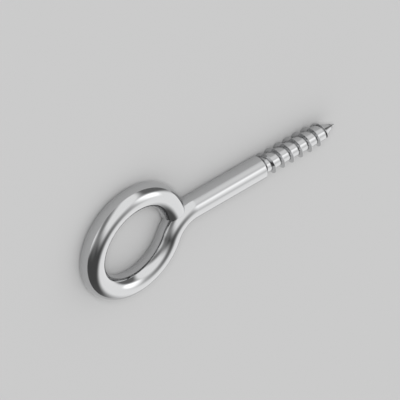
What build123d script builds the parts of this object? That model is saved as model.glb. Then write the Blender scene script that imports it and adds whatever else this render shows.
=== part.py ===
from build123d import *
import math
import os

# Screw eye bent from one length of round steel wire, lying flat.
# Origin: centre of the eye, at half the thickness of the wire.
# +X runs along the shank to the point, +Z is square to the eye. Millimetres.

# ---- wire and eye -------------------------------------------------------
WIRE_DIAMETER = 6.0
EYE_BORE = 19.2            # clear width of the eye
OVERALL_LENGTH = 80.0      # far side of the eye to the point
NECK_BEND_RADIUS = 7.5     # to the middle of the wire
TAIL_ANGLE = 49.0          # where the free end leaves the circle of the eye
TAIL_RELIEF = 2.4          # the free end is bent this much wider than the eye
TAIL_GAP = 0.5             # middle of the cut end to the side of the neck
CUT_END_EASING = 0.25      # rounding round the cut end

# ---- plain shank, core and point ----------------------------------------
PLAIN_REACH = 40.5         # eye centre to the end of the plain shank
SHANK_BEVEL = 1.0          # length of the bevel where the plain shank ends
CORE_DIAMETER = 4.2
POINT_HALF_ANGLE = 24.7
POINT_FLAT_RADIUS = 0.10

# ---- wood thread --------------------------------------------------------
THREAD_PITCH = 2.88
CREST_BELOW_SHANK = 0.03   # the crest lies this far under the shank surface
CREST_WIDTH = 0.10
FLANK_ANGLE = 20.0         # each flank, from square to the axis
RIDGE_ROOT_DEPTH = 0.30    # the ridge is rooted this deep in the core
THREAD_START_BACK = 1.0    # thread begins this far back, inside the plain shank
THREAD_START_ANGLE = 343.0 # round the shank, from +Y towards +Z
CREST_FADE_BACK = 10.9     # crest begins to come down, measured from the point
CREST_END_BACK = 1.1       # where the crest would reach the axis
CREST_FADE_POWER = 4
THREAD_END_BACK = 1.5      # ridge ends here, buried in the point
PIECES_PER_TURN = 4        # the ridge is laid out in short lengths
STEPS_PER_PIECE = 8

# ---- follows from the sizes above ---------------------------------------
WIRE_RADIUS = WIRE_DIAMETER / 2
CORE_RADIUS = CORE_DIAMETER / 2
CREST_RADIUS = WIRE_RADIUS - CREST_BELOW_SHANK
EYE_RADIUS = EYE_BORE / 2 + WIRE_RADIUS
TAIL_BEND_RADIUS = EYE_RADIUS + TAIL_RELIEF
POINT_X = OVERALL_LENGTH - EYE_RADIUS - WIRE_RADIUS
POINT_SLOPE = math.tan(math.radians(POINT_HALF_ANGLE))
NECK_START = math.sqrt(EYE_RADIUS ** 2 + 2 * EYE_RADIUS * NECK_BEND_RADIUS)
NECK_ANGLE = math.degrees(math.atan2(NECK_BEND_RADIUS, NECK_START))
NECK_CENTRE = Vector(NECK_START, -NECK_BEND_RADIUS, 0)


def wire_bend(centre, bend_radius, from_angle, turn):
    """A bend of the wire about an upright axis, angles in degrees."""
    section = Plane.XZ * Pos(bend_radius, 0) * Circle(WIRE_RADIUS)
    bend = revolve(section, Axis.Z, turn)
    return Pos(centre) * Rot(0, 0, from_angle) * bend


def make_tail():
    """Free end, bent on from the eye and cut square beside the neck."""
    angle = math.radians(TAIL_ANGLE)
    centre = Vector(math.cos(angle), math.sin(angle)) * -TAIL_RELIEF
    to_neck = NECK_CENTRE - centre
    reach = NECK_BEND_RADIUS + WIRE_RADIUS + TAIL_GAP
    squares = to_neck.length ** 2 + TAIL_BEND_RADIUS ** 2 - reach ** 2
    above_neck = math.acos(squares / (2 * to_neck.length * TAIL_BEND_RADIUS))
    cut_angle = math.atan2(to_neck.Y, to_neck.X) + above_neck
    turn = TAIL_ANGLE - math.degrees(cut_angle)
    tail = wire_bend(centre, TAIL_BEND_RADIUS, math.degrees(cut_angle), turn)
    cut_middle = centre + Vector(math.cos(cut_angle), math.sin(cut_angle)) * TAIL_BEND_RADIUS
    cut_face = tail.faces().sort_by_distance(cut_middle)[0]
    return fillet(cut_face.edges(), CUT_END_EASING)


def make_eye():
    """Neck bend, round of the eye and the free end that closes it."""
    neck = wire_bend(NECK_CENTRE, NECK_BEND_RADIUS, 90, 90 - NECK_ANGLE)
    ring = wire_bend(Vector(0, 0, 0), EYE_RADIUS, TAIL_ANGLE, 360 - TAIL_ANGLE - NECK_ANGLE)
    return neck + ring + make_tail()


def make_shank():
    """Plain shank, turned-down core and point."""
    core_end = POINT_X - (CORE_RADIUS - POINT_FLAT_RADIUS) / POINT_SLOPE
    outline = Polyline(
        (NECK_START, 0),
        (NECK_START, WIRE_RADIUS),
        (PLAIN_REACH, WIRE_RADIUS),
        (PLAIN_REACH + SHANK_BEVEL, CORE_RADIUS),
        (core_end, CORE_RADIUS),
        (POINT_X, POINT_FLAT_RADIUS),
        (POINT_X, 0),
        close=True,
    )
    return revolve(make_face(outline), Axis.X)


def core_surface(x):
    """Radius of the core or the point at a place along the axis."""
    return min(CORE_RADIUS, POINT_FLAT_RADIUS + (POINT_X - x) * POINT_SLOPE)


def crest_surface(x):
    """Radius of the thread crest, which comes down towards the point."""
    fade_start = POINT_X - CREST_FADE_BACK
    fade_end = POINT_X - CREST_END_BACK
    part = max(0.0, (x - fade_start) / (fade_end - fade_start))
    return CREST_RADIUS * (1 - part ** CREST_FADE_POWER)


def ridge_corners(turn, start_x):
    """Four corners of the ridge section after a turn in degrees."""
    x = start_x + THREAD_PITCH * turn / 360
    crest = crest_surface(x)
    root = min(core_surface(x) - RIDGE_ROOT_DEPTH, crest - CREST_WIDTH)
    crest_half = CREST_WIDTH / 2
    root_half = crest_half + (crest - root) * math.tan(math.radians(FLANK_ANGLE))
    angle = math.radians(THREAD_START_ANGLE + turn)
    section = [(-root_half, root), (-crest_half, crest), (crest_half, crest), (root_half, root)]
    return [(x + dx, r * math.cos(angle), r * math.sin(angle)) for dx, r in section]


def make_ridge():
    """Right-hand helical ridge, closed from short ruled faces and two ends."""
    start_x = PLAIN_REACH - THREAD_START_BACK
    turns = (POINT_X - THREAD_END_BACK - start_x) / THREAD_PITCH
    pieces = math.ceil(turns * PIECES_PER_TURN)
    steps = pieces * STEPS_PER_PIECE
    rows = [ridge_corners(360 * turns * step / steps, start_x) for step in range(steps + 1)]
    faces = [make_face(Polyline(*row, close=True)).face() for row in (rows[0], rows[-1])]
    for piece in range(pieces):
        first = piece * STEPS_PER_PIECE
        piece_rows = rows[first:first + STEPS_PER_PIECE + 1]
        rails = [Edge.make_spline([row[corner] for row in piece_rows]) for corner in range(4)]
        for corner in range(4):
            faces.append(Face.make_surface_from_curves(rails[corner], rails[(corner + 1) % 4]))
    return Solid(Shell(faces))


def make_screw_eye():
    """The whole screw eye as one solid."""
    return make_eye() + make_shank() + make_ridge()


screw_eye = make_screw_eye()
screw_eye.label = "screw_eye"
os.makedirs("parts", exist_ok=True)
export_step(screw_eye, "parts/screw_eye.step")
print("solids", len(screw_eye.solids()), "valid", screw_eye.is_valid, "volume", screw_eye.volume)
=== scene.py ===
"""A screw eye bent from polished steel wire, lying flat on a pale studio floor."""
import logging
import math
from dataclasses import dataclass
from enum import Enum

import bpy
from mathutils import Matrix, Vector


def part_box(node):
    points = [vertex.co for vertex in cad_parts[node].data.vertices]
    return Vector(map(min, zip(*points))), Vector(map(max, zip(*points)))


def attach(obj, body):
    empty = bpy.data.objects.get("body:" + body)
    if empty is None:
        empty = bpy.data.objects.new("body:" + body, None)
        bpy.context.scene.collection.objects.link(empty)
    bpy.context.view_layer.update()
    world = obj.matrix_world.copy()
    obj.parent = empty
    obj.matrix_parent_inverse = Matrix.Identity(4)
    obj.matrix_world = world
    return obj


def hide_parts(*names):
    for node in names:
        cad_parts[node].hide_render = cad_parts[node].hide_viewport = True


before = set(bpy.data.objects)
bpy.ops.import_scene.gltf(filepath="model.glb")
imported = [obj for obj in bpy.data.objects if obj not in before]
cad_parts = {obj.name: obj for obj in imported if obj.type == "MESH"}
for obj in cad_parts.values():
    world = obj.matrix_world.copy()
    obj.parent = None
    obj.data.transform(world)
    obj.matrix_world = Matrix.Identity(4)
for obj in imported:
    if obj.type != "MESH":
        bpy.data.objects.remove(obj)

MM = 0.001
LOG = logging.getLogger("screw_eye")
STRAIGHT_PLACE = "straight_place"
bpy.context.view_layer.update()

# What a node's input can take: another node's socket, or the value itself.
Feed = bpy.types.NodeSocket | float | tuple[float, ...]


def to_drawing(length: float) -> float:
    """Round a length to the tenth of a millimetre that the drawing gives it in."""
    return round(length / MM, 1) * MM


@dataclass(frozen=True)
class WireForm:
    """Sizes of the bent wire in metres, angles in degrees.

    The origin is the centre of the eye, and the shank runs along +X.
    """

    wire_radius: float
    far_side: float
    point_x: float
    neck_bend_radius: float = 7.5 * MM
    tail_angle: float = 49.0
    tail_relief: float = 2.4 * MM
    tail_gap: float = 0.5 * MM
    plain_reach: float = 40.5 * MM

    @property
    def eye_radius(self) -> float:
        """Radius of the eye to the middle of the wire."""
        return -self.far_side - self.wire_radius

    @property
    def neck_start(self) -> float:
        """Place along the shank where the neck begins to bend."""
        return math.sqrt(self.eye_radius ** 2 + 2.0 * self.eye_radius * self.neck_bend_radius)

    @property
    def neck_centre(self) -> Vector:
        """Centre of the neck's bend."""
        return Vector((self.neck_start, -self.neck_bend_radius, 0.0))

    @property
    def neck_angle(self) -> float:
        """Angle below the shank at which the neck meets the eye's circle."""
        return math.degrees(math.atan2(self.neck_bend_radius, self.neck_start))

    @property
    def tail_bend_radius(self) -> float:
        """Radius of the free end's bend to the middle of the wire."""
        return self.eye_radius + self.tail_relief

    @property
    def tail_centre(self) -> Vector:
        """Centre of the free end's bend."""
        angle = math.radians(self.tail_angle)
        return Vector((math.cos(angle), math.sin(angle), 0.0)) * -self.tail_relief

    def cut_angle(self) -> float:
        """Angle on the free end's bend at which the wire is cut.

        Returns:
            The angle in degrees, just short of the neck's side.
        """
        to_neck = self.neck_centre - self.tail_centre
        reach = self.neck_bend_radius + self.wire_radius + self.tail_gap
        squares = to_neck.length_squared + self.tail_bend_radius ** 2 - reach ** 2
        above_neck = math.acos(squares / (2.0 * to_neck.length * self.tail_bend_radius))
        return math.degrees(math.atan2(to_neck.y, to_neck.x) + above_neck)


@dataclass(frozen=True)
class ThreadForm:
    """Sizes of the core, the point and the wood thread in metres, angles in degrees."""

    wire: WireForm
    shank_bevel: float = 1.0 * MM
    core_radius: float = 2.1 * MM
    point_half_angle: float = 24.7
    point_flat_radius: float = 0.10 * MM
    pitch: float = 2.88 * MM
    crest_below_shank: float = 0.03 * MM
    crest_width: float = 0.10 * MM
    flank_angle: float = 20.0
    root_depth: float = 0.30 * MM
    start_back: float = 1.0 * MM
    start_angle: float = 343.0
    fade_back: float = 10.9 * MM
    fade_end_back: float = 1.1 * MM
    fade_power: int = 4
    end_back: float = 1.5 * MM

    @property
    def point_slope(self) -> float:
        """Rise of the point's side for each metre along the axis."""
        return math.tan(math.radians(self.point_half_angle))

    @property
    def start_x(self) -> float:
        """Where the ridge begins, inside the plain shank."""
        return self.wire.plain_reach - self.start_back

    @property
    def foot_width(self) -> float:
        """Width of the ridge where it rises from the core."""
        height = self.wire.wire_radius - self.crest_below_shank - self.core_radius
        return self.crest_width + 2.0 * height * math.tan(math.radians(self.flank_angle))

    @property
    def core_end(self) -> float:
        """Where the core turns into the point."""
        return self.wire.point_x - (self.core_radius - self.point_flat_radius) / self.point_slope

    def core_surface(self, x: float) -> float:
        """Radius of the core or the point at a place along the axis."""
        return min(self.core_radius, self.point_flat_radius + (self.wire.point_x - x) * self.point_slope)

    def crest_surface(self, x: float) -> float:
        """Radius of the crest at a place along the axis.

        Args:
            x: Place along the axis, from the centre of the eye.

        Returns:
            The radius, which comes down towards the point.
        """
        fade_start = self.wire.point_x - self.fade_back
        fade_end = self.wire.point_x - self.fade_end_back
        part = max(0.0, (x - fade_start) / (fade_end - fade_start))
        crest = self.wire.wire_radius - self.crest_below_shank
        return crest * (1.0 - part ** self.fade_power)


@dataclass
class Station:
    """One round of the wire: its centre, the way outwards in the eye's plane, and its radius.

    Its place along the wire is measured from the point, and a sharp round is an edge.
    """

    centre: Vector
    outwards: Vector
    radius: float
    along: float
    sharp: bool = False

    def point(self, turn: float) -> Vector:
        """Point on the round.

        Args:
            turn: Angle round the wire in radians.

        Returns:
            The point in metres.
        """
        up = Vector((0.0, 0.0, 1.0))
        return self.centre + (self.outwards * math.cos(turn) + up * math.sin(turn)) * self.radius

    def straight_place(self, turn: float) -> Vector:
        """Place of a point on the round in the straight wire, before it was bent."""
        return Vector((self.along, self.radius * math.cos(turn), self.radius * math.sin(turn)))


class MeshSketch:
    """Vertices, faces and sharp edges, gathered before the mesh is made.

    Each vertex also keeps its place in the straight wire, before it was bent: the distance
    from the point, and the place across the wire.
    """

    def __init__(self) -> None:
        """Start an empty sketch."""
        self.verts: list[Vector] = []
        self.straight: list[Vector] = []
        self.faces: list[list[int]] = []
        self.sharp: set[tuple[int, int]] = set()

    def add_row(self, points: list[Vector], straight: list[Vector]) -> list[int]:
        """Add a row of vertices.

        Args:
            points: The vertices' places.
            straight: Each vertex's place in the straight wire.

        Returns:
            The new vertices' numbers.
        """
        first = len(self.verts)
        self.verts.extend(points)
        self.straight.extend(straight)
        return list(range(first, first + len(points)))

    def bridge(self, row: list[int], following: list[int]) -> None:
        """Join two closed rows of the same count with quads.

        Args:
            row: Numbers of the first row's vertices.
            following: Numbers of the next row's vertices.
        """
        count = len(row)
        for i in range(count):
            j = (i + 1) % count
            self.faces.append([row[i], row[j], following[j], following[i]])

    def crease(self, chain: list[int], closed: bool = True) -> None:
        """Mark the edges along a row as sharp."""
        pairs = zip(chain, chain[1:] + chain[:1] if closed else chain[1:])
        self.sharp.update((min(a, b), max(a, b)) for a, b in pairs)

    def to_object(self, name: str) -> bpy.types.Object:
        """Make the mesh object.

        Args:
            name: The piece's name.

        Returns:
            The new object, smooth apart from its sharp edges.
        """
        mesh = bpy.data.meshes.new(name)
        mesh.from_pydata([tuple(v) for v in self.verts], [], self.faces)
        mesh.validate()
        for polygon in mesh.polygons:
            polygon.use_smooth = True
        for edge in mesh.edges:
            edge.use_edge_sharp = tuple(sorted(edge.vertices)) in self.sharp
        layer = mesh.attributes.new(STRAIGHT_PLACE, "FLOAT_VECTOR", "POINT")
        for item, place in zip(layer.data, self.straight):
            item.vector = place
        mesh.update()
        piece = bpy.data.objects.new(name, mesh)
        bpy.context.collection.objects.link(piece)
        return piece


@dataclass
class BentWire:
    """The wire itself: point, core, plain shank, neck, eye and free end as one tube."""

    form: WireForm
    thread: ThreadForm
    sides: int = 128
    taper_steps: int = 8
    shank_steps: int = 12
    neck_steps: int = 48
    eye_steps: int = 260
    tail_steps: int = 16
    end_easing: float = 0.25 * MM
    easing_steps: int = 6

    def straight_stations(self) -> list[Station]:
        """Stations from the point to the start of the neck.

        Returns:
            The rounds that the turned profile needs, each on the shank's axis.
        """
        bevel_end = self.form.plain_reach + self.thread.shank_bevel
        turned = [
            (self.form.point_x, self.thread.point_flat_radius),
            (self.thread.core_end, self.thread.core_radius),
            (bevel_end, self.thread.core_radius),
            (self.form.plain_reach, self.form.wire_radius),
        ]
        outwards = Vector((0.0, 1.0, 0.0))
        rounds = []
        for (x, radius), (next_x, next_radius) in zip(turned, turned[1:]):
            for step in range(self.taper_steps):
                part = step / self.taper_steps
                place = Vector((x + (next_x - x) * part, 0.0, 0.0))
                width = radius + (next_radius - radius) * part
                rounds.append(Station(place, outwards, width, self.form.point_x - place.x, step == 0))
        shank_run = self.form.neck_start - self.form.plain_reach
        for step in range(self.shank_steps):
            x = self.form.plain_reach + shank_run * step / self.shank_steps
            place = Vector((x, 0.0, 0.0))
            rounds.append(Station(place, outwards, self.form.wire_radius, self.form.point_x - x, step == 0))
        return rounds

    def bend_stations(self, along: float) -> list[Station]:
        """Stations round the neck and the eye.

        Args:
            along: Length of wire from the point to the start of the neck.

        Returns:
            The rounds up to the start of the free end.
        """
        form = self.form
        rounds = []
        neck_turn = 90.0 - form.neck_angle
        for step in range(self.neck_steps):
            angle = math.radians(90.0 + neck_turn * step / self.neck_steps)
            outwards = Vector((math.cos(angle), math.sin(angle), 0.0))
            centre = form.neck_centre + outwards * form.neck_bend_radius
            done = form.neck_bend_radius * math.radians(neck_turn) * step / self.neck_steps
            rounds.append(Station(centre, outwards, form.wire_radius, along + done))
        along += form.neck_bend_radius * math.radians(neck_turn)
        eye_turn = 360.0 - form.tail_angle - form.neck_angle
        for step in range(self.eye_steps + 1):
            angle = math.radians(-form.neck_angle - eye_turn * step / self.eye_steps)
            outwards = Vector((math.cos(angle), math.sin(angle), 0.0))
            done = form.eye_radius * math.radians(eye_turn) * step / self.eye_steps
            rounds.append(Station(outwards * form.eye_radius, -outwards, form.wire_radius, along + done))
        return rounds

    def tail_stations(self, along: float) -> list[Station]:
        """Stations on the free end, with its cut edge eased.

        Args:
            along: Length of wire from the point to the start of the free end.

        Returns:
            The rounds after the eye, up to the cut face.
        """
        form = self.form
        rounds = []
        whole = math.radians(form.tail_angle - form.cut_angle()) * form.tail_bend_radius
        even = whole - self.end_easing
        runs = [(even * step / self.tail_steps, 0.0) for step in range(1, self.tail_steps + 1)]
        for step in range(1, self.easing_steps + 1):
            angle = math.pi / 2.0 * step / self.easing_steps
            back = self.end_easing * (1.0 - math.sin(angle))
            runs.append((whole - back, self.end_easing * (1.0 - math.cos(angle))))
        for run, drawn_in in runs:
            angle = math.radians(form.tail_angle) - run / form.tail_bend_radius
            outwards = Vector((math.cos(angle), math.sin(angle), 0.0))
            centre = form.tail_centre + outwards * form.tail_bend_radius
            rounds.append(Station(centre, -outwards, form.wire_radius - drawn_in, along + run))
        return rounds

    def draw(self, sketch: MeshSketch) -> float:
        """Add the whole wire to a sketch.

        Args:
            sketch: The mesh under way.

        Returns:
            Length of the wire from the point to the cut end.
        """
        stations = self.straight_stations()
        stations += self.bend_stations(self.form.point_x - self.form.neck_start)
        stations += self.tail_stations(stations[-1].along)
        row: list[int] = []
        for station in stations:
            turns = [math.tau * i / self.sides for i in range(self.sides)]
            points = [station.point(turn) for turn in turns]
            straight = [station.straight_place(turn) for turn in turns]
            following = sketch.add_row(points, straight)
            if row:
                sketch.bridge(row, following)
            else:
                sketch.faces.append(following)
            if station.sharp:
                sketch.crease(following)
            row = following
        sketch.faces.append(row[::-1])
        LOG.info("wire drawn: %d rounds of %d", len(stations), self.sides)
        return stations[-1].along


@dataclass
class WoodThread:
    """The right-hand helical ridge round the core."""

    form: WireForm
    thread: ThreadForm
    rows_per_turn: int = 96
    flank_steps: int = 4

    def section(self, x: float) -> list[tuple[float, float]]:
        """Outline of the ridge at a place along the axis.

        Args:
            x: Place along the axis.

        Returns:
            Offset along the axis and radius, for each point from one root to the other.
        """
        thread = self.thread
        crest = thread.crest_surface(x)
        root = min(thread.core_surface(x) - thread.root_depth, crest - thread.crest_width)
        half = thread.crest_width / 2.0
        spread = math.tan(math.radians(thread.flank_angle))
        height = crest - root
        rise = [step / self.flank_steps for step in range(self.flank_steps + 1)]
        near = [(-half - height * (1.0 - part) * spread, root + height * part) for part in rise]
        return near + [(-offset, radius) for offset, radius in reversed(near)]

    def draw(self, sketch: MeshSketch) -> None:
        """Add the ridge to a sketch.

        Args:
            sketch: The mesh under way.
        """
        thread = self.thread
        turns = (self.form.point_x - thread.end_back - thread.start_x) / thread.pitch
        steps = math.ceil(turns * self.rows_per_turn)
        rows = []
        for step in range(steps + 1):
            turn = turns * step / steps
            x = thread.start_x + thread.pitch * turn
            angle = math.radians(thread.start_angle) + math.tau * turn
            radial = Vector((0.0, math.cos(angle), math.sin(angle)))
            outline = self.section(x)
            points = [Vector((x + offset, 0.0, 0.0)) + radial * radius for offset, radius in outline]
            straight = [Vector((self.form.point_x - p.x, p.y, p.z)) for p in points]
            rows.append(sketch.add_row(points, straight))
        for row, following in zip(rows, rows[1:]):
            sketch.bridge(following, row)
        sketch.faces.append(rows[0])
        sketch.faces.append(rows[-1][::-1])
        for corner in (0, self.flank_steps, self.flank_steps + 1, -1):
            sketch.crease([row[corner] for row in rows], closed=False)
        LOG.info("thread drawn: %.1f turns in %d rows", turns, len(rows))


class Sum(Enum):
    """Sums that a math node can do."""

    ADD = "ADD"
    SUBTRACT = "SUBTRACT"
    MULTIPLY = "MULTIPLY"
    DIVIDE = "DIVIDE"
    ROOT = "SQRT"
    SIZE = "ABSOLUTE"
    FRACTION = "FRACT"
    SINE = "SINE"
    ARC_SINE = "ARCSINE"
    ARC_TANGENT = "ARCTAN2"
    LESS = "LESS_THAN"


class NodeBench:
    """A node tree with short calls to place and join its nodes."""

    def __init__(self, tree: bpy.types.NodeTree) -> None:
        """Take the tree to work on."""
        self.tree = tree

    def feed(self, socket: bpy.types.NodeSocket, value: Feed) -> None:
        """Join a socket to another, or set its own value.

        Args:
            socket: The input to feed.
            value: Another node's socket, or the value itself.
        """
        if isinstance(value, bpy.types.NodeSocket):
            self.tree.links.new(value, socket)
        else:
            socket.default_value = value

    def place(self, kind: str, inputs: dict[str, Feed] | None = None, **settings: object) -> bpy.types.Node:
        """Place a node.

        Args:
            kind: The node's type, without its leading ShaderNode.
            inputs: A value or another node's socket for each named input.
            settings: The node's own settings.

        Returns:
            The new node.
        """
        node = self.tree.nodes.new("ShaderNode" + kind)
        for name, value in settings.items():
            setattr(node, name, value)
        for name, value in (inputs or {}).items():
            self.feed(node.inputs[name], value)
        return node

    def work_out(self, task: Sum, *values: Feed, clamp: bool = False) -> bpy.types.NodeSocket:
        """Work out a number.

        Args:
            task: The sum to do.
            values: Its numbers or sockets, in order.
            clamp: Whether the result is held between 0 and 1.

        Returns:
            The result's socket.
        """
        node = self.place("Math", operation=task.value, use_clamp=clamp)
        for socket, value in zip(node.inputs, values):
            self.feed(socket, value)
        return node.outputs[0]

    def product(self, first: Feed, *others: Feed) -> bpy.types.NodeSocket:
        """Multiply several numbers.

        Args:
            first: The first number.
            others: The numbers to multiply it by, in order.

        Returns:
            The product's socket.
        """
        result = first
        for other in others:
            result = self.work_out(Sum.MULTIPLY, result, other)
        return result

    def diagonal(self, side: Feed, other: Feed) -> bpy.types.NodeSocket:
        """Distance from the origin of a point with these two coordinates."""
        squares = [self.product(length, length) for length in (side, other)]
        return self.work_out(Sum.ROOT, self.work_out(Sum.ADD, *squares))

    def noise(self, place: Feed, scale: float, detail: float) -> bpy.types.NodeSocket:
        """Smooth noise from 0 to 1, with detail layers of finer noise on it."""
        return self.place("TexNoise", {"Vector": place, "Scale": scale, "Detail": detail}).outputs[0]

    def ramp(
        self, value: Feed, start: Feed, end: Feed, first: Feed = 0.0, last: Feed = 1.0
    ) -> bpy.types.NodeSocket:
        """Ease from one number to another.

        Args:
            value: The number that leads.
            start: Where the change starts.
            end: Where it ends.
            first: The result at the start.
            last: The result at the end.

        Returns:
            The result's socket.
        """
        given = {"Value": value, "From Min": start, "From Max": end, "To Min": first, "To Max": last}
        return self.place("MapRange", given, interpolation_type="SMOOTHSTEP").outputs["Result"]

    def blend(self, factor: Feed, base: Feed, cover: Feed) -> bpy.types.NodeSocket:
        """Cover one number with another, as far as the factor says."""
        return self.place("Mix", {"Factor": factor, "A": base, "B": cover}).outputs["Result"]

    def tint(self, factor: Feed, base: Feed, cover: Feed) -> bpy.types.NodeSocket:
        """Cover one colour with another, as far as the factor says.

        Args:
            factor: How much of the cover shows, from 0 to 1.
            base: The colour underneath.
            cover: The colour over it.

        Returns:
            The blended colour's socket.
        """
        mix = self.place("Mix", {"Factor": factor}, data_type="RGBA")
        colours = [socket for socket in mix.inputs if socket.type == "RGBA"]
        for socket, colour in zip(colours, (base, cover)):
            self.feed(socket, colour)
        return next(socket for socket in mix.outputs if socket.type == "RGBA")


def bare_material(name: str) -> tuple[bpy.types.Material, bpy.types.Node]:
    """Make a node material with nothing set.

    Args:
        name: The material's name.

    Returns:
        The material, and its shader.
    """
    material = bpy.data.materials.new(name)
    material.use_nodes = True
    return material, material.node_tree.nodes["Principled BSDF"]


@dataclass(frozen=True)
class PolishedSteel:
    """Bright polished steel wire.

    Faint streaks from the drawing die run along the wire, the polish is a little cloudy,
    the thread's roots get painted shade and a duller polish, and the cut end is left as it was sheared.
    Lengths are in metres. A range is the stretch of noise that a mask rises over, and the
    shear marks start shear_reach before the cut end and are full shear_full before it.
    """

    colour: tuple[float, float, float] = (0.56, 0.563, 0.568)
    # Painted shade: the darker colour that the thread's roots are given, standing in for the shade in them.
    painted_root_shade_colour: tuple[float, float, float] = (0.26, 0.26, 0.263)
    polished_roughness: float = 0.05
    clouded_roughness: float = 0.09
    root_roughness: float = 0.30
    sheared_roughness: float = 0.34
    cloud_size: float = 5.0 * MM
    cloud_range: tuple[float, float] = (0.35, 0.70)
    cloud_detail: float = 3.0
    streak_width: float = 0.34 * MM
    streak_length: float = 14.0 * MM
    streak_height: float = 0.0013 * MM
    streak_detail: float = 2.0
    shear_pitch: float = 0.30 * MM
    shear_height: float = 0.009 * MM
    shear_reach: float = 0.06 * MM
    shear_full: float = 0.01 * MM
    root_shade_reach: float = 0.16 * MM
    patch_size: float = 1.25 * MM
    patch_range: tuple[float, float] = (0.30, 0.62)
    patch_detail: float = 2.0

    def streaks(self, bench: NodeBench, place: bpy.types.NodeSocket) -> bpy.types.NodeSocket:
        """Fine streaks along the wire.

        Args:
            bench: The material's nodes.
            place: The place in the straight wire.

        Returns:
            A value from 0 to 1 that changes across the wire much faster than along it.
        """
        fine = (1.0 / self.streak_length, 1.0 / self.streak_width, 1.0 / self.streak_width)
        stretched = bench.place("VectorMath", operation="MULTIPLY")
        bench.feed(stretched.inputs[0], place)
        bench.feed(stretched.inputs[1], fine)
        return bench.noise(stretched.outputs[0], 1.0, self.streak_detail)

    def clouds(self, bench: NodeBench, place: bpy.types.NodeSocket) -> bpy.types.NodeSocket:
        """Soft clouds in the polish.

        Args:
            bench: The material's nodes.
            place: The place in the straight wire.

        Returns:
            A value from 0 to 1, in patches a few millimetres across.
        """
        return bench.ramp(bench.noise(place, 1.0 / self.cloud_size, self.cloud_detail), *self.cloud_range)

    def painted_root_shade(
        self, bench: NodeBench, place: bpy.types.NodeSocket, thread: ThreadForm
    ) -> bpy.types.NodeSocket:
        """Painted shade along both roots of the thread.

        Args:
            bench: The material's nodes.
            place: The place in the straight wire.
            thread: The thread's sizes.

        Returns:
            A patchy mask, fullest where the ridge meets the core.
        """
        split = bench.place("SeparateXYZ", {"Vector": place})
        along, across, up = (split.outputs[axis] for axis in "XYZ")
        start_along = thread.wire.point_x - thread.start_x
        run = bench.work_out(Sum.DIVIDE, bench.work_out(Sum.SUBTRACT, start_along, along), thread.pitch)
        around = bench.work_out(Sum.DIVIDE, bench.work_out(Sum.ARC_TANGENT, up, across), math.tau)
        # In pitches. The ridge's middle is moved to half a pitch, so that no jump lies on the ridge.
        half = 0.5
        turned = bench.work_out(Sum.SUBTRACT, run, around)
        phase = bench.work_out(Sum.ADD, turned, thread.start_angle / 360.0 + half)
        from_half = bench.work_out(Sum.SUBTRACT, bench.work_out(Sum.FRACTION, phase), half)
        off_ridge = bench.work_out(Sum.SIZE, from_half)
        foot = thread.foot_width / 2.0
        ends = (foot / thread.pitch, (foot + self.root_shade_reach) / thread.pitch)
        beside = bench.ramp(off_ridge, *ends, 1.0, 0.0)
        radius = bench.diagonal(across, up)
        low = bench.ramp(radius, thread.core_radius, thread.core_radius + self.root_shade_reach, 1.0, 0.0)
        threaded = bench.ramp(along, start_along - half * thread.pitch, start_along, 1.0, 0.0)
        patches = bench.ramp(bench.noise(place, 1.0 / self.patch_size, self.patch_detail), *self.patch_range)
        return bench.product(beside, low, threaded, patches)

    def build(self, thread: ThreadForm, wire_length: float) -> bpy.types.Material:
        """Make the material.

        Args:
            thread: The thread's sizes.
            wire_length: Length of the wire from the point to the cut end.

        Returns:
            A node material for the whole piece.
        """
        material, shader = bare_material("polished_steel")
        bench = NodeBench(material.node_tree)
        shader.inputs["Metallic"].default_value = 1.0
        source = bench.place("Attribute", attribute_name=STRAIGHT_PLACE, attribute_type="GEOMETRY")
        place = source.outputs["Vector"]
        split = bench.place("SeparateXYZ", {"Vector": place})
        painted_root_shade = self.painted_root_shade(bench, place, thread)
        ends = (wire_length - self.shear_reach, wire_length - self.shear_full)
        sheared = bench.ramp(split.outputs["X"], *ends)

        clouds = self.clouds(bench, place)
        polish = bench.ramp(clouds, 0.0, 1.0, self.polished_roughness, self.clouded_roughness)
        dulled = bench.ramp(painted_root_shade, 0.0, 1.0, polish, self.root_roughness)
        roughness = bench.ramp(sheared, 0.0, 1.0, dulled, self.sheared_roughness)
        bench.feed(shader.inputs["Roughness"], roughness)

        # Painted shade: the base colour darkens in the thread's roots, as far as the root mask is full.
        colour = bench.tint(painted_root_shade, (*self.colour, 1.0), (*self.painted_root_shade_colour, 1.0))
        bench.feed(shader.inputs["Base Color"], colour)

        drawn = bench.product(self.streaks(bench, place), self.streak_height)
        lines = bench.work_out(Sum.SINE, bench.product(split.outputs["Z"], math.tau / self.shear_pitch))
        cut = bench.product(lines, sheared, self.shear_height)
        height = bench.work_out(Sum.ADD, drawn, cut)
        bump = bench.place("Bump", {"Height": height, "Distance": 1.0, "Strength": 1.0})
        bench.feed(shader.inputs["Normal"], bump.outputs["Normal"])
        return material


@dataclass
class ScrewEye:
    """The whole screw eye: one length of wire with its thread, dressed in polished steel."""

    form: WireForm
    finish: PolishedSteel = PolishedSteel()

    def shape(self, thread: ThreadForm) -> tuple[bpy.types.Object, float]:
        """Build the mesh.

        Args:
            thread: The thread's sizes.

        Returns:
            The bare piece, and the length of its wire.
        """
        sketch = MeshSketch()
        wire_length = BentWire(self.form, thread).draw(sketch)
        WoodThread(self.form, thread).draw(sketch)
        return sketch.to_object("bent_wire"), wire_length

    def make(self) -> bpy.types.Object:
        """Build and dress the piece, and fix it to the model's frame.

        Returns:
            The piece, which stands for the model's only node.
        """
        thread = ThreadForm(self.form)
        piece, wire_length = self.shape(thread)
        piece.data.materials.append(self.finish.build(thread, wire_length))
        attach(piece, "root")
        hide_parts("screw_eye")
        return piece


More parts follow.
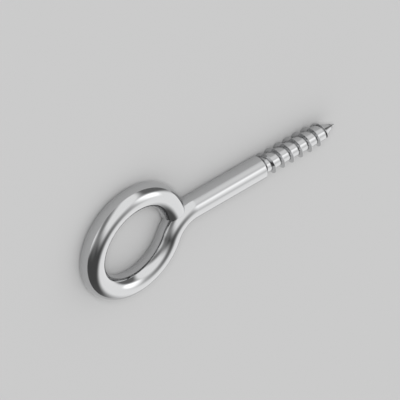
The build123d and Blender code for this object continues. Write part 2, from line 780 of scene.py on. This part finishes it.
@dataclass(frozen=True)
class SkyCard:
    """A soft-edged card in the studio's sky, brighter or darker than the sky behind it.

    Angles are in degrees; the azimuth runs from +X towards +Y.
    """

    azimuth: float
    elevation: float
    half_width: float
    half_height: float
    roll: float
    edge: float
    brightness: float

    def angles(self) -> dict[str, float]:
        """The card's angles in radians, by the names of the mask's inputs.

        Returns:
            An angle for each input.
        """
        degrees = {
            "Azimuth": self.azimuth,
            "Elevation": self.elevation,
            "Roll": self.roll,
            "Half Width": self.half_width,
            "Half Height": self.half_height,
        }
        return {name: math.radians(angle) for name, angle in degrees.items()}


@dataclass(frozen=True)
class StudioSky:
    """What the metal mirrors, and the plain light that the sky gives to the floor.

    A card lies over the ones before it.
    """

    brightness: float = 1.21
    fill: float = 0.70
    horizon_blur: float = 0.01
    cards: tuple[SkyCard, ...] = (
        # A dark wall beyond the eye, on the -Y side.
        SkyCard(
            azimuth=-130, elevation=23, half_width=64, half_height=40, roll=-30, edge=0.35, brightness=0.11
        ),
        # A bright window high over the point.
        SkyCard(
            azimuth=13, elevation=47, half_width=18, half_height=15, roll=-21, edge=0.47, brightness=2.3
        ),
        # A dark wall low beyond the point.
        SkyCard(
            azimuth=22, elevation=-20, half_width=36, half_height=64, roll=-15, edge=0.26, brightness=0.18
        ),
        # A dim card beyond the eye, on the +Y side.
        SkyCard(
            azimuth=134, elevation=18, half_width=50, half_height=15, roll=32, edge=0.77, brightness=0.29
        ),
        # A long dark strip, nearly upright, before the first wall.
        SkyCard(
            azimuth=-133, elevation=19, half_width=90, half_height=26, roll=74, edge=0.50, brightness=0.09
        ),
    )

    def card_group(self) -> bpy.types.NodeTree:
        """Make the node group that masks one card.

        Returns:
            A group that takes a direction and the card's angles in radians, and puts out its mask.
        """
        tree = bpy.data.node_groups.new("sky_card", "ShaderNodeTree")
        tree.interface.new_socket("Direction", in_out="INPUT", socket_type="NodeSocketVector")
        for name in ("Azimuth", "Elevation", "Roll", "Half Width", "Half Height", "Edge"):
            tree.interface.new_socket(name, in_out="INPUT", socket_type="NodeSocketFloat")
        tree.interface.new_socket("Mask", in_out="OUTPUT", socket_type="NodeSocketFloat")
        bench = NodeBench(tree)
        given = tree.nodes.new("NodeGroupInput").outputs
        result = tree.nodes.new("NodeGroupOutput")
        direction = given["Direction"]
        turns = (("Z_AXIS", "Azimuth", -1.0), ("Y_AXIS", "Elevation", 1.0), ("X_AXIS", "Roll", -1.0))
        for axis, angle, sign in turns:
            turn = {"Vector": direction, "Angle": bench.product(given[angle], sign)}
            direction = bench.place("VectorRotate", turn, rotation_type=axis).outputs["Vector"]
        split = bench.place("SeparateXYZ", {"Vector": direction}).outputs
        across = bench.work_out(Sum.ARC_TANGENT, split["Y"], split["X"])
        above = bench.work_out(Sum.ARC_SINE, split["Z"])
        wide = bench.work_out(Sum.DIVIDE, across, given["Half Width"])
        high = bench.work_out(Sum.DIVIDE, above, given["Half Height"])
        away = bench.diagonal(wide, high)
        inner = bench.work_out(Sum.SUBTRACT, 1.0, given["Edge"])
        outer = bench.work_out(Sum.ADD, 1.0, given["Edge"])
        bench.feed(result.inputs["Mask"], bench.ramp(away, inner, outer, 1.0, 0.0))
        return tree

    def scenery(self, bench: NodeBench, ground_tone: float) -> bpy.types.NodeSocket:
        """Brightness that the eye and the metal see in each direction.

        Args:
            bench: The world's nodes.
            ground_tone: Brightness of the lit floor, which is also seen below the horizon.

        Returns:
            The brightness, where 1 is white.
        """
        direction = bench.place("TexCoord").outputs["Generated"]
        group = self.card_group()
        level: Feed = self.brightness
        for card in self.cards:
            given = {"Direction": direction, "Edge": card.edge, **card.angles()}
            mask = bench.place("Group", given, node_tree=group).outputs["Mask"]
            level = bench.blend(mask, level, card.brightness)
        height = bench.place("SeparateXYZ", {"Vector": direction}).outputs["Z"]
        below = bench.ramp(height, -self.horizon_blur, 0.0, 1.0, 0.0)
        return bench.blend(below, level, ground_tone)

    def build(self, ground_tone: float) -> None:
        """Make the world: the scenery for the eye and the metal, plain fill for the rest.

        Args:
            ground_tone: Brightness of the lit floor.
        """
        world = bpy.data.worlds.new("studio_sky")
        bpy.context.scene.world = world
        world.use_nodes = True
        nodes = world.node_tree.nodes
        bench = NodeBench(world.node_tree)
        scenery = nodes["Background"]
        bench.feed(scenery.inputs["Color"], self.scenery(bench, ground_tone))
        fill = bench.place("Background", {"Color": (self.fill, self.fill, self.fill, 1.0)})
        path = bench.place("LightPath").outputs
        seen = bench.work_out(Sum.ADD, path["Is Camera Ray"], path["Is Glossy Ray"])
        clear = bench.work_out(Sum.ADD, seen, path["Is Transmission Ray"])
        first_matt_bounce = 1.0
        direct = bench.work_out(Sum.LESS, path["Diffuse Depth"], first_matt_bounce)
        shown = bench.work_out(Sum.MULTIPLY, clear, direct, clamp=True)
        choose = bench.place("MixShader")
        for socket, value in zip(choose.inputs, (shown, fill.outputs[0], scenery.outputs[0])):
            bench.feed(socket, value)
        bench.feed(nodes["World Output"].inputs["Surface"], choose.outputs[0])


@dataclass(frozen=True)
class SoftLamp:
    """A broad far lamp that lights the floor and gives the piece its shadow.

    Angles are in degrees, and level is the light that it lays on the floor, where 1 is full.
    """

    azimuth: float
    elevation: float
    spread: float
    level: float

    def build(self) -> None:
        """Hang the lamp."""
        data = bpy.data.lights.new("soft_lamp", "SUN")
        turn, lift = math.radians(self.azimuth), math.radians(self.elevation)
        data.energy = self.level * math.pi / math.sin(lift)
        data.angle = math.radians(self.spread)
        lamp = bpy.data.objects.new("soft_lamp", data)
        toward = Vector((math.cos(turn) * math.cos(lift), math.sin(turn) * math.cos(lift), math.sin(lift)))
        lamp.rotation_euler = toward.to_track_quat("Z", "Y").to_euler()
        lamp.location = toward
        lamp.visible_glossy = False
        bpy.context.collection.objects.link(lamp)


@dataclass(frozen=True)
class FloorPaper:
    """Plain pale matt paper."""

    tone: float = 0.597
    roughness: float = 0.9

    def build(self) -> bpy.types.Material:
        """Make the material.

        Returns:
            A matt material with no gloss.
        """
        material, shader = bare_material("floor_paper")
        shader.inputs["Base Color"].default_value = (self.tone, self.tone, self.tone, 1.0)
        shader.inputs["Roughness"].default_value = self.roughness
        shader.inputs["Specular IOR Level"].default_value = 0.0
        return material


@dataclass
class Studio:
    """Floor, sky, lamp and camera.

    The camera looks from view_from with frame_up upwards, at a point that lies aim_right
    and aim_up of the eye's centre along the frame's own sides. Lengths are in metres.
    """

    floor_level: float
    view_from: tuple[float, float, float] = (-0.5130, 0.6421, 0.5697)
    frame_up: tuple[float, float, float] = (0.4296, 0.7666, -0.4772)
    frame_width: float = 94.86 * MM
    aim_right: float = 16.10 * MM
    aim_up: float = 9.68 * MM
    camera_distance: float = 0.6
    clip_near: float = 0.01
    clip_far: float = 20.0
    floor_reach: float = 3.0
    paper: FloorPaper = FloorPaper()
    sky: StudioSky = StudioSky()
    lamp: SoftLamp = SoftLamp(azimuth=126.0, elevation=38.0, spread=22.0, level=0.30)

    def lay_floor(self) -> bpy.types.Object:
        """Lay a wide pale floor under the piece.

        Returns:
            The floor, marked as stage.
        """
        reach = self.floor_reach
        mesh = bpy.data.meshes.new("floor")
        corners = [(-reach, -reach), (reach, -reach), (reach, reach), (-reach, reach)]
        mesh.from_pydata([(x, y, self.floor_level) for x, y in corners], [], [(0, 1, 2, 3)])
        floor = bpy.data.objects.new("floor", mesh)
        bpy.context.collection.objects.link(floor)
        mesh.materials.append(self.paper.build())
        return floor

    def place_camera(self) -> None:
        """Aim an orthographic camera at the piece."""
        toward = Vector(self.view_from).normalized()
        right = Vector(self.frame_up).cross(toward).normalized()
        up = toward.cross(right)
        camera = bpy.data.objects.new("camera", bpy.data.cameras.new("camera"))
        camera.data.type = "ORTHO"
        camera.data.ortho_scale = self.frame_width
        camera.data.clip_start = self.clip_near
        camera.data.clip_end = self.clip_far
        place = right * self.aim_right + up * self.aim_up + toward * self.camera_distance
        camera.matrix_world = Matrix.Translation(place) @ Matrix((right, up, toward)).transposed().to_4x4()
        bpy.context.collection.objects.link(camera)
        bpy.context.scene.camera = camera

    def build(self) -> None:
        """Set up the whole studio."""
        self.lay_floor()
        self.sky.build(self.paper.tone)
        self.lamp.build()
        self.place_camera()
        bpy.context.scene.view_settings.view_transform = "Standard"


def main() -> None:
    """Build the screw eye and its studio, and log their making."""
    logging.basicConfig(level=logging.INFO, format="%(name)s: %(message)s")
    low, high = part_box("screw_eye")
    form = WireForm(wire_radius=to_drawing(high[2]), far_side=to_drawing(low[0]), point_x=to_drawing(high[0]))
    piece = ScrewEye(form).make()
    LOG.info("piece made: %s", piece.name)
    Studio(floor_level=low[2]).build()
    LOG.info("studio made: floor, sky, lamp and camera")


if __name__ == "__main__":
    main()
